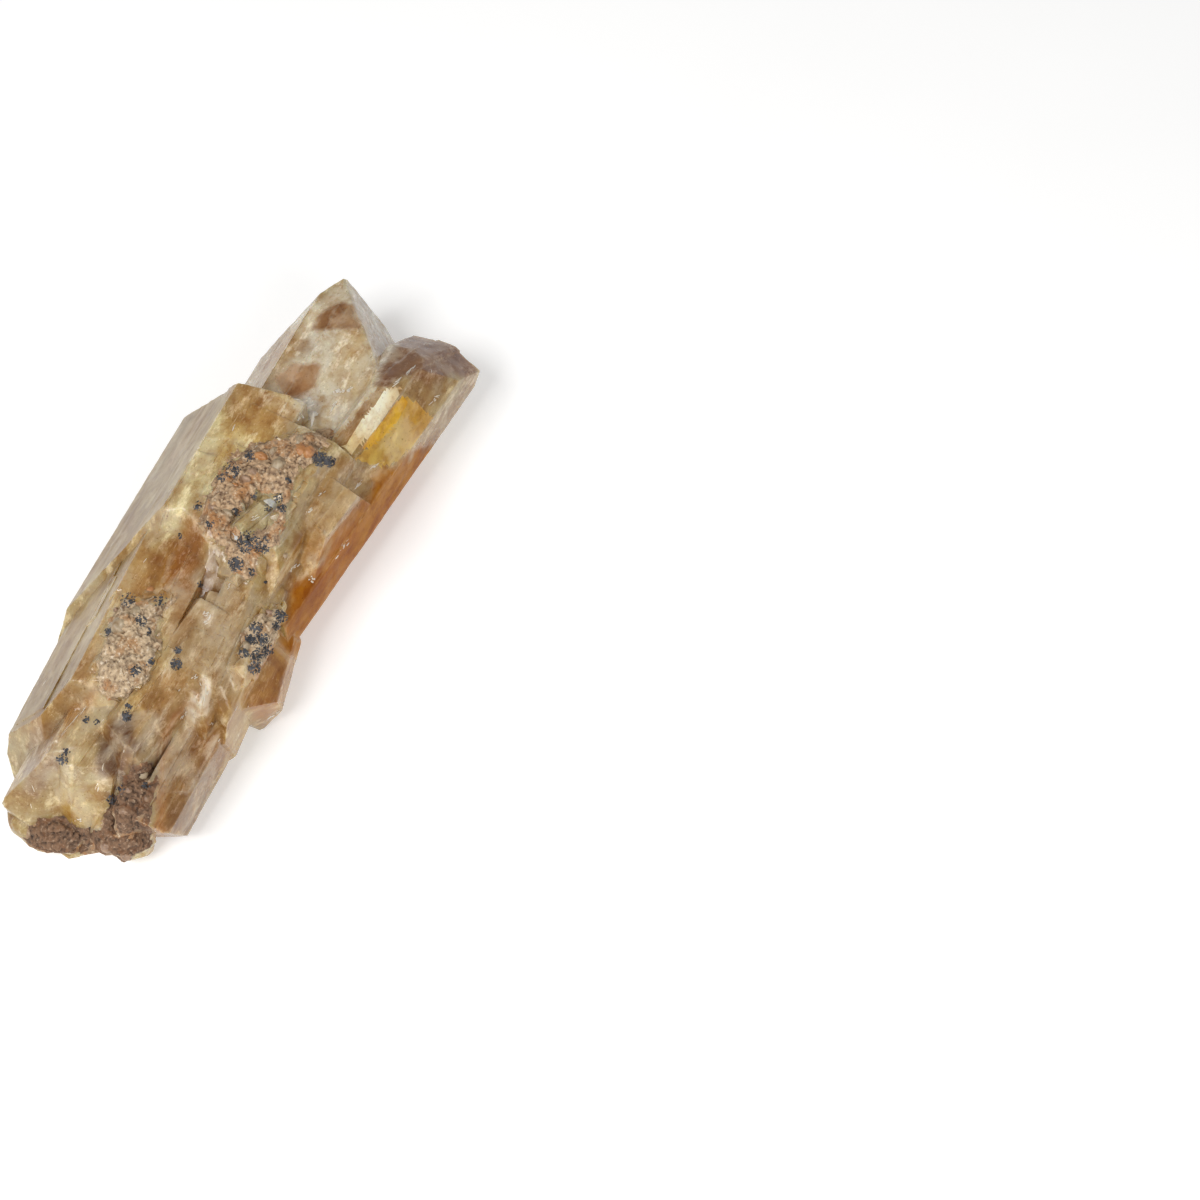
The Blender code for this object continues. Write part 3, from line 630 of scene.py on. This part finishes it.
class Nodes:
    """A short way to write a material's nodes."""

    def __init__(self, name):
        self.material = bpy.data.materials.new(name)
        self.material.use_nodes = True
        self.tree = self.material.node_tree
        self.shader = self.tree.nodes["Principled BSDF"]
        self.output = self.tree.nodes["Material Output"]

    def add(self, kind, **settings):
        node = self.tree.nodes.new(kind)
        for key, value in settings.items():
            setattr(node, key, value)
        return node

    def link(self, source, target):
        self.tree.links.new(source, target)

    def coordinates(self, scale=(1, 1, 1)):
        """The object's own coordinates, in cells of 1/scale millimetres."""
        place = self.add("ShaderNodeTexCoord")
        mapping = self.add("ShaderNodeMapping")
        mapping.inputs["Scale"].default_value = [MM_PER_METRE * s for s in scale]
        self.link(place.outputs["Object"], mapping.inputs["Vector"])
        return mapping.outputs["Vector"]

    def noise(self, scale, detail=4.0, roughness=0.55, distortion=0.0):
        node = self.add("ShaderNodeTexNoise")
        node.inputs["Scale"].default_value = 1.0
        node.inputs["Detail"].default_value = detail
        node.inputs["Roughness"].default_value = roughness
        node.inputs["Distortion"].default_value = distortion
        self.link(self.coordinates(scale), node.inputs["Vector"])
        return node.outputs["Fac"]

    def ramp(self, value, *stops):
        """value through a ramp of (position, number) stops."""
        node = self.add("ShaderNodeValToRGB")
        elements = node.color_ramp.elements
        while len(elements) < len(stops):
            elements.new(0.5)
        for element, (position, number) in zip(elements, stops):
            element.position = position
            element.color = (number, number, number, 1)
        self.link(value, node.inputs["Fac"])
        return node.outputs["Color"]

    def math(self, operation, first, second):
        node = self.add("ShaderNodeMath", operation=operation)
        for slot, value in zip(node.inputs, (first, second)):
            if isinstance(value, (int, float)):
                slot.default_value = value
            else:
                self.link(value, slot)
        return node.outputs["Value"]

    def mix(self, factor, first, second, blend="MIX"):
        node = self.add("ShaderNodeMix", data_type="RGBA", blend_type=blend)
        for slot, value in ((0, factor), (6, first), (7, second)):
            if isinstance(value, (int, float)):
                node.inputs[slot].default_value = value
            elif isinstance(value, tuple):
                node.inputs[slot].default_value = (*value, 1)
            else:
                self.link(value, node.inputs[slot])
        return node.outputs[2]

    def bump(self, height, strength, distance, before=None):
        """A bump of that height. distance is in millimetres."""
        node = self.add("ShaderNodeBump")
        node.inputs["Strength"].default_value = strength
        node.inputs["Distance"].default_value = distance * MM
        self.link(height, node.inputs["Height"])
        if before:
            self.link(before, node.inputs["Normal"])
        return node.outputs["Normal"]


def crystal_material(name, shine):
    """Honey barite: cloudy under a glossy skin, with stains, scratches, growth lines and sparkles, partly
    painted glints.
    """
    n = Nodes(name)
    tint = n.add("ShaderNodeVertexColor", layer_name="tint")
    mottle = n.noise((0.5, 0.6, 0.6), detail=10.0, roughness=0.7)
    clouds = n.noise((0.16, 0.22, 0.22), detail=6.0, roughness=0.6, distortion=0.6)
    pure = n.ramp(tint.outputs["Alpha"], (0.06, 0.15), (0.3, 1.0))
    specks = n.noise((3.2, 4.2, 4.2), detail=5.0, roughness=0.6)
    patches = n.noise((0.07, 0.13, 0.13), detail=5.0, roughness=0.6)
    where = n.noise((0.13, 0.22, 0.22), detail=4.0, roughness=0.6)
    lines = n.noise((0.09, 1.1, 1.1), detail=3.0, roughness=0.5)
    scratches = n.ramp(lines, (0.492, 0.0), (0.5, 0.8), (0.508, 0.0))
    scratches = n.math("MULTIPLY", scratches, n.ramp(where, (0.4, 0.9), (0.52, 0.0)))
    veil = n.ramp(n.noise((0.3, 0.6, 0.6), detail=9.0, roughness=0.74), (0.52, 0.0), (0.64, 1.0))
    # White specks: crushed spots, partly painted glints.
    crushed_specks_and_glints = n.ramp(mottle, (0.52, 0.0), (0.62, 1.0))
    crushed_specks_and_glints = n.math("MULTIPLY", n.ramp(specks, (0.6, 0.0), (0.68, 1.0)), crushed_specks_and_glints)
    milk_and_glints = n.math("MAXIMUM", scratches, n.math("MAXIMUM", veil, crushed_specks_and_glints))
    colour = tint.outputs["Color"]
    colour = n.mix(n.ramp(mottle, (0.36, 0.7), (0.56, 0.0)), colour, BROWN_MOTTLE, "MULTIPLY")
    colour = n.mix(n.ramp(patches, (0.46, 0.0), (0.6, 0.6)), colour, GOLD_PATCHES, "MULTIPLY")
    colour = n.mix(n.ramp(clouds, (0.38, 0.5), (0.5, 0.0)), colour, TAN_CLOUDS, "MULTIPLY")
    haze = n.math("MULTIPLY", pure, n.ramp(clouds, (0.5, 0.0), (0.64, 0.35)))
    colour = n.mix(haze, colour, PALE_HAZE)
    colour = n.mix(n.ramp(specks, (0.3, 0.8), (0.38, 0.0)), colour, DARK_SPECKS, "MULTIPLY")
    pale = n.mix(0.25, tint.outputs["Color"], WHITE_MILK_AND_GLINTS)
    colour = n.mix(n.math("MULTIPLY", milk_and_glints, n.math("MULTIPLY", pure, 0.7)), colour, pale)
    n.link(colour, n.shader.inputs["Base Color"])
    clear = n.math("SUBTRACT", tint.outputs["Alpha"], n.math("MULTIPLY", milk_and_glints, 0.35))
    n.link(n.math("MAXIMUM", clear, 0.03), n.shader.inputs["Transmission Weight"])
    n.link(n.ramp(tint.outputs["Alpha"], (0.2, 0.3), (0.75, 0.12)), n.shader.inputs["Roughness"])
    steps = n.ramp(n.noise((0.05, 0.7, 0.7), detail=2.0, roughness=0.5), *GROWTH_STEPS)
    normal = n.bump(steps, strength=0.05, distance=0.03)
    normal = n.bump(milk_and_glints, strength=0.05, distance=0.03, before=normal)
    normal = n.bump(mottle, strength=0.3, distance=0.14, before=normal)
    n.link(normal, n.shader.inputs["Normal"])
    n.shader.inputs["IOR"].default_value = BARITE_IOR
    n.shader.inputs["Specular IOR Level"].default_value = shine
    n.shader.inputs["Subsurface Weight"].default_value = MILKINESS
    n.shader.inputs["Subsurface Radius"].default_value = GLOW_REACH
    n.shader.inputs["Subsurface Scale"].default_value = MM
    absorption = n.add("ShaderNodeVolumeAbsorption")
    absorption.inputs["Color"].default_value = (*ABSORBED, 1)
    absorption.inputs["Density"].default_value = ABSORBED_PER_METRE
    n.link(absorption.outputs["Volume"], n.output.inputs["Volume"])
    return n.material


def earth_material(name, painted_hollow_shade, high, rust, pale):
    """A crust of matt grains: painted shade in its hollows, painted light on its grain tops, and where it is
    rusty or pale.
    """
    n = Nodes(name)
    relief = n.add("ShaderNodeVertexColor", layer_name="relief")
    patches = n.noise((0.55, 0.55, 0.55), detail=4.0, roughness=0.6)
    specks = n.noise((2.4, 2.4, 2.4), detail=4.0, roughness=0.7)
    # Painted shade and light: darker in the hollows, lighter on the grain tops, by the grains' height.
    colour = n.mix(n.ramp(relief.outputs["Color"], (0.15, 0.0), (0.7, 1.0)), painted_hollow_shade, high)
    colour = n.mix(n.ramp(patches, (0.5, 0.0), (0.62, 0.75)), colour, rust)
    colour = n.mix(n.ramp(specks, (0.56, 0.0), (0.68, 0.8)), colour, pale)
    colour = n.mix(n.ramp(specks, (0.34, 0.9), (0.42, 0.0)), colour, CRUST_SPECKS)
    n.link(colour, n.shader.inputs["Base Color"])
    n.link(n.ramp(specks, (0.3, 0.95), (0.7, 0.65)), n.shader.inputs["Roughness"])
    n.link(n.bump(specks, strength=0.7, distance=0.12), n.shader.inputs["Normal"])
    return n.material


def bead_material():
    """Dark blue-grey manganese beads, a little shiny."""
    n = Nodes("beads")
    patches = n.noise((1.6, 1.6, 1.6), detail=4.0, roughness=0.6)
    colour = n.mix(n.ramp(patches, (0.35, 0.0), (0.7, 1.0)), *BEAD_COLOURS)
    n.link(colour, n.shader.inputs["Base Color"])
    n.link(n.ramp(patches, (0.3, 0.75), (0.7, 0.45)), n.shader.inputs["Roughness"])
    n.link(n.bump(patches, strength=0.6, distance=0.06), n.shader.inputs["Normal"])
    return n.material


def pebble_material(name, low, high, transmission):
    """Single grains of one kind."""
    n = Nodes(name)
    patches = n.noise((1.2, 1.2, 1.2), detail=4.0, roughness=0.65)
    n.link(n.mix(n.ramp(patches, (0.3, 0.0), (0.7, 1.0)), low, high), n.shader.inputs["Base Color"])
    n.link(n.ramp(patches, (0.3, 0.3), (0.7, 0.6)), n.shader.inputs["Roughness"])
    n.link(n.bump(patches, strength=0.5, distance=0.1), n.shader.inputs["Normal"])
    n.shader.inputs["Transmission Weight"].default_value = transmission
    n.shader.inputs["IOR"].default_value = BARITE_IOR
    return n.material


def floor_material():
    """The floor: almost white, with the faintest clouds."""
    n = Nodes("floor")
    soft = n.noise((0.02, 0.02, 0.02), detail=2.0)
    n.link(n.mix(n.ramp(soft, (0.3, 0.0), (0.7, 1.0)), *FLOOR_GREYS), n.shader.inputs["Base Color"])
    n.shader.inputs["Roughness"].default_value = 0.8
    n.shader.inputs["Emission Color"].default_value = (1, 1, 1, 1)
    n.shader.inputs["Emission Strength"].default_value = FLOOR_GLOW
    return n.material


def crust_cover(bm, outline):
    """How far each face of the crystals lies inside a patch of crust, in pixels, with a ragged edge."""
    middles = [face.calc_center_median() for face in bm.faces]
    ragged = fractal(middles, (0.8, 0.8, 0.8), 6, 4)
    facing = np.array([face.normal.dot(BACK) for face in bm.faces])
    pixels = pixels_of(middles)
    outside_gap = -depth_inside(pixels, CRUST_GAP)
    depth = np.minimum(depth_inside(pixels, outline), outside_gap) + CRUST_RAGGED * ragged
    return np.where(facing > CRUST_FACING, depth, NO_CRUST)


def crust_piece(name, bm, outline, grain, material):
    """A granular shell over the part of the crystals that the outline holds."""
    cover = crust_cover(bm, outline)
    chosen = [face for face, depth in zip(bm.faces, cover) if depth > 0]
    shell = bmesh.new()
    copies = {}
    for face in chosen:
        for vert in face.verts:
            if vert not in copies:
                copies[vert] = shell.verts.new(vert.co)
        shell.faces.new([copies[vert] for vert in face.verts])
    every_axis = dict(use_axis_x=True, use_axis_y=True, use_axis_z=True)
    for _ in range(SHELL_SMOOTHINGS):
        bmesh.ops.smooth_vert(shell, verts=shell.verts, factor=0.5, **every_axis)
    for _ in range(SHELL_DIVISIONS):
        long_edges = [edge for edge in shell.edges if edge.calc_length() > GRAIN_CELL]
        bmesh.ops.subdivide_edges(shell, edges=long_edges, cuts=1)
        bmesh.ops.triangulate(shell, faces=shell.faces)
    shell.normal_update()
    rim = [vert for vert in shell.verts if vert.is_boundary]
    tree = kdtree.KDTree(len(rim))
    for index, vert in enumerate(rim):
        tree.insert(vert.co, index)
    tree.balance()
    moves = []
    for vert in shell.verts:
        inward = tree.find(vert.co)[2]
        share = min(1.0, inward / SHELL_RIM)
        height = grain_height(vert.co)
        move = share * (SHELL_LIFT + grain * height) - RIM_SUNK * (1 - share)
        moves.append((vert, vert.normal.copy(), move, height))
    for vert, normal, move, _ in moves:
        vert.co += normal * move
        vert.co.z = max(vert.co.z, SHELL_LOWEST)
    reliefs = [(height,) * 3 + (1,) for _, _, _, height in moves]
    obj = mesh_object(name, shell, material, crease=SHELL_CREASE)
    colour_layer(obj.data, "relief", reliefs)
    return obj


def crust_crystal(material):
    """The small clear crystal in the upper crust, as a chiselled prism with smooth faces."""
    foot = CRUST_CRYSTAL["foot"]
    tip = CRUST_CRYSTAL["tip"]
    along = (tip - foot).normalized()
    side = Vector((0, 0, 1)).cross(along).normalized()
    axes = Matrix((along, side, along.cross(side))).transposed().to_4x4()
    half_width = CRUST_CRYSTAL["width"] / 2
    half_depth = CRUST_CRYSTAL["depth"] / 2
    corners = CRUST_CRYSTAL["corners"]
    bm = bmesh.new()
    loops = []
    for place, share in CRUST_CRYSTAL["sections"]:
        distance = place * (tip - foot).length
        ring = []
        for a, b in corners:
            ring.append(bm.verts.new((distance, a * half_width * share, b * half_depth * share)))
        loops.append(ring)
    for first, second in zip(loops, loops[1:]):
        for k in range(len(corners)):
            bm.faces.new((first[k - 1], first[k], second[k], second[k - 1]))
    bm.faces.new(loops[0])
    bm.faces.new(reversed(loops[-1]))
    bmesh.ops.recalc_face_normals(bm, faces=bm.faces)
    bmesh.ops.subdivide_edges(bm, edges=bm.edges, cuts=3, use_grid_fill=True)
    for vert in bm.verts:
        wave = noise.fractal(Vector((vert.co.x * 0.4, vert.co.y * 2, vert.co.z * 2)), 1.0, 2.0, 3)
        vert.co += vert.normal * CRUST_CRYSTAL["waves"] * wave
    bmesh.ops.transform(bm, matrix=Matrix.Translation((foot + tip) / 2) @ axes, verts=bm.verts)
    obj = mesh_object("crust_crystal", bm, material)
    colour_layer(obj.data, "tint", np.tile(CRUST_CRYSTAL["tint"], (len(obj.data.vertices), 1)))


def surface_point(trees, pixel):
    """The first place that the camera's ray through a pixel meets, with the surface's direction there."""
    best = None
    for tree in trees:
        place, normal, _, distance = tree.ray_cast(PLACE, ray_through(pixel))
        if place and (best is None or distance < best[2]):
            best = (place, normal, distance)
    return best


def ball(subdivisions):
    """A round ball of radius 1 as an array of points and a list of faces."""
    bm = bmesh.new()
    bmesh.ops.create_icosphere(bm, subdivisions=subdivisions, radius=1.0)
    points = np.array([tuple(vert.co) for vert in bm.verts])
    faces = np.array([[vert.index for vert in face.verts] for face in bm.faces])
    bm.free()
    return points, faces


def grains_piece(name, grains, material, subdivisions, roughness, crease):
    """Many uneven grains as one piece. grains is a list of (place, radii)."""
    points, faces = ball(subdivisions)
    all_points, all_faces = [], []
    for number, (place, radii) in enumerate(grains):
        lumps = [noise.fractal(Vector(point) * 1.5 + place * 3, 1.0, 2.0, 3) for point in points]
        swell = 1 + roughness * np.array(lumps)[:, None]
        all_points.append(points * swell * np.array(radii) + np.array(place))
        all_faces.append(faces + number * len(points))
    joined_piece(name, all_points, all_faces, material, crease)


def joined_piece(name, points, faces, material, crease):
    """One piece from many arrays of points and faces."""
    mesh = bpy.data.meshes.new(name)
    mesh.from_pydata(np.concatenate(points).tolist(), [], np.concatenate(faces).tolist())
    bm = bmesh.new()
    bm.from_mesh(mesh)
    bpy.data.meshes.remove(mesh)
    mesh_object(name, bm, material, crease=crease)


def bead_piece(trees, chance, material):
    """All the dark beads, as small grains joined in clusters."""
    grains = []
    for (across, down), spread, count in BEADS:
        for _ in range(round(BEADS_PER_COUNT * count)):
            reach = spread * chance.random() ** BEAD_CROWDING
            angle = chance.uniform(0, math.tau)
            found = surface_point(trees, (across + reach * math.cos(angle), down + reach * math.sin(angle)))
            radius = chance.uniform(*BEAD_RADIUS) * (MIDDLE_BEAD - BEAD_TAPER * reach / spread)
            if found and found[0].z > LOWEST_BEAD:
                grains.append((found[0] - found[1] * radius * BEAD_SUNK, (radius, radius, radius)))
    grains_piece("dark_beads", grains, material, subdivisions=2, roughness=0.3, crease=70)


def pebble_pieces(trees, chance, materials):
    """The larger single grains on the crusts, one piece for each kind."""
    for kind, material in materials.items():
        grains = []
        for pixel, radius, its_kind in PEBBLES:
            found = surface_point(trees, pixel)
            if its_kind == kind and found:
                radii = [chance.uniform(*PEBBLE_STRETCH) * radius for _ in range(3)]
                grains.append((found[0] - found[1] * radius * PEBBLE_SUNK, radii))
        grains_piece("grains_" + kind, grains, material, subdivisions=4, roughness=0.16, crease=60)


def flake_and_glint_piece(trees, points, normals, chance, material):
    """The pale flakes and painted glints, thin slivers that lie in the surface. points and normals are the
    crystals' own.
    """
    slivers = []
    for start, end, half_width in FLAKES_AND_GLINTS:
        ends = [surface_point(trees, pixel) for pixel in (start, end)]
        for _ in range(FLAKE_PARTS if all(ends) else 0):
            along = ends[1][0] - ends[0][0]
            across = along.cross(ends[0][1]).normalized()
            middle = ends[0][0] + along * chance.random() + across * chance.gauss(0, half_width)
            turned = along * chance.uniform(*PART_LENGTH) + across * chance.gauss(0, half_width)
            slivers.append((middle, turned, ends[0][1], half_width * chance.uniform(*PART_WIDTH)))
    for _ in range(STREWN["tries"]):
        index = chance.randrange(len(points))
        sideways = chance.uniform(-STREWN["sideways"], STREWN["sideways"])
        upwards = chance.uniform(-STREWN["upwards"], STREWN["upwards"])
        along = Vector((1, sideways, upwards)) * chance.uniform(*STREWN["length"])
        if points[index][2] > STREWN["lowest"]:
            half_width = chance.uniform(*STREWN["half_width"])
            slivers.append((Vector(points[index]), along, Vector(normals[index]), half_width))
    balls, faces = ball(2)
    all_points, all_faces = [], []
    for number, (middle, along, normal, half_width) in enumerate(slivers):
        length = along.length
        first = (along - normal * along.dot(normal)).normalized()
        second = normal.cross(first)
        sides = (first * length * 0.5, second * half_width, normal * half_width * FLAKE_THICKNESS)
        shape = np.array([tuple(side) for side in sides])
        ragged = [1 + 0.5 * noise.fractal(Vector(point) * 2 + middle, 1.0, 2.0, 3) for point in balls]
        all_points.append((balls * np.array(ragged)[:, None]) @ shape + np.array(middle))
        all_faces.append(faces + number * len(balls))
    joined_piece("flakes", all_points, all_faces, material, crease=40)


def light(name, place, width, power):
    """A soft square light that faces the specimen."""
    lamp = bpy.data.lights.new(name, "AREA")
    lamp.shape = "SQUARE"
    lamp.size = width
    lamp.energy = power
    obj = bpy.data.objects.new(name, lamp)
    obj.location = Vector(place) * MM
    obj.rotation_euler = (Vector(place) - LAMP_TARGET).to_track_quat("Z", "Y").to_euler()
    bpy.context.scene.collection.objects.link(obj)


def stage():
    """The pale floor, the surrounding light and the lamps."""
    bm = bmesh.new()
    bmesh.ops.create_grid(bm, x_segments=4, y_segments=4, size=FLOOR_REACH)
    mesh = bpy.data.meshes.new("floor")
    bm.to_mesh(mesh)
    bm.free()
    mesh.materials.append(floor_material())
    floor = bpy.data.objects.new("floor", mesh)
    bpy.context.scene.collection.objects.link(floor)
    world = bpy.context.scene.world or bpy.data.worlds.new("sky")
    bpy.context.scene.world = world
    world.use_nodes = True
    background = world.node_tree.nodes["Background"]
    background.inputs["Color"].default_value = (*SKY_COLOUR, 1)
    background.inputs["Strength"].default_value = SKY_STRENGTH
    for name, lamp in LAMPS.items():
        light(name, **lamp)


def camera():
    """The photograph's camera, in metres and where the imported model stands."""
    data = bpy.data.cameras.new("camera")
    data.lens = LENS
    data.sensor_width = SENSOR
    data.clip_start = 0.01
    data.clip_end = 20
    obj = bpy.data.objects.new("camera", data)
    turn = Matrix((RIGHT, UP, BACK)).transposed().to_4x4()
    obj.matrix_world = Matrix.Translation((PLACE + CENTRING) * MM) @ turn
    bpy.context.scene.collection.objects.link(obj)
    bpy.context.scene.camera = obj


def dress():
    """Every piece of the specimen."""
    chance = random.Random(SEED)
    barite = crystal_material("barite", SHINE)
    painted_amber_glow = crystal_material("amber_barite_painted_glow", AMBER_SHINE)
    stones = {}
    for name, colours in STONES.items():
        stones[name] = earth_material(name, *(daylight(*colour) for colour in colours))
    bm = packed_mesh()
    divide(bm)
    paled_edges = weather(bm)
    bm.normal_update()
    bm.faces.ensure_lookup_table()
    under_crust = np.full(len(bm.faces), NO_CRUST)
    for crust in CRUSTS.values():
        under_crust = np.maximum(under_crust, crust_cover(bm, crust["outline"]))
    middles = pixels_of([face.calc_center_median() for face in bm.faces])
    for face, depth, in_amber in zip(bm.faces, under_crust, depth_inside(middles, AMBER_OUTLINE) > 0):
        if depth > CRUST_DEPTH:
            face.material_index = STONE_FACES
        elif in_amber and face.normal.y < AMBER_FACING:
            face.material_index = AMBER_FACES
        else:
            face.material_index = BARITE_FACES
    points = np.array([tuple(vert.co) for vert in bm.verts])
    normals = np.array([tuple(vert.normal) for vert in bm.verts])
    trees = [BVHTree.FromBMesh(bm)]
    shells = []
    for name, crust in CRUSTS.items():
        shells.append(crust_piece(name, bm, crust["outline"], crust["grain"], stones[crust["stone"]]))
    crystals = mesh_object("crystals", bm, barite, stones["crust"], painted_amber_glow)
    tint = tint_of(points, normals)
    # Paler sharp edges: chipped wear and a painted edge highlight.
    tint[:, :3] += (WEAR_AND_HIGHLIGHT_SHARE * paled_edges)[:, None] * (np.array(EDGE_WEAR_AND_HIGHLIGHT) - tint[:, :3])
    colour_layer(crystals.data, "tint", sharp_tint(crystals.data, tint), "CORNER")
    colour_layer(crystals.data, "relief", np.tile(BARE_RELIEF, (len(points), 1)))
    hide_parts("barite_crystal")
    crust_crystal(barite)
    for shell in shells:
        trees.append(tree_of(shell))
    bead_piece(trees, chance, bead_material())
    kinds = {kind: pebble_material(*look) for kind, look in PEBBLE_LOOKS.items()}
    pebble_pieces(trees, chance, kinds)
    flake_and_glint_piece(trees, points, normals, chance, pebble_material(*FLAKE_AND_GLINT_LOOK))


def tree_of(obj):
    """A finished piece for rays to meet, back in the source's frame."""
    verts = [vert.co / MM - CENTRING for vert in obj.data.vertices]
    faces = [tuple(polygon.vertices) for polygon in obj.data.polygons]
    return BVHTree.FromPolygons(verts, faces)


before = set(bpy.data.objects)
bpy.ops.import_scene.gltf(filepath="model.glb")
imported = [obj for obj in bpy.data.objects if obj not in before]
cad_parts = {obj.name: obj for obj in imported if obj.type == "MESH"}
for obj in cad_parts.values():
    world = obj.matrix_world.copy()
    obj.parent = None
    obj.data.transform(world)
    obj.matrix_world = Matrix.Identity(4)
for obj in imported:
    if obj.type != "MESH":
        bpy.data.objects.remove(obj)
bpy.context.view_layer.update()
dress()
stage()
camera()
bpy.context.scene.view_settings.view_transform = "Standard"
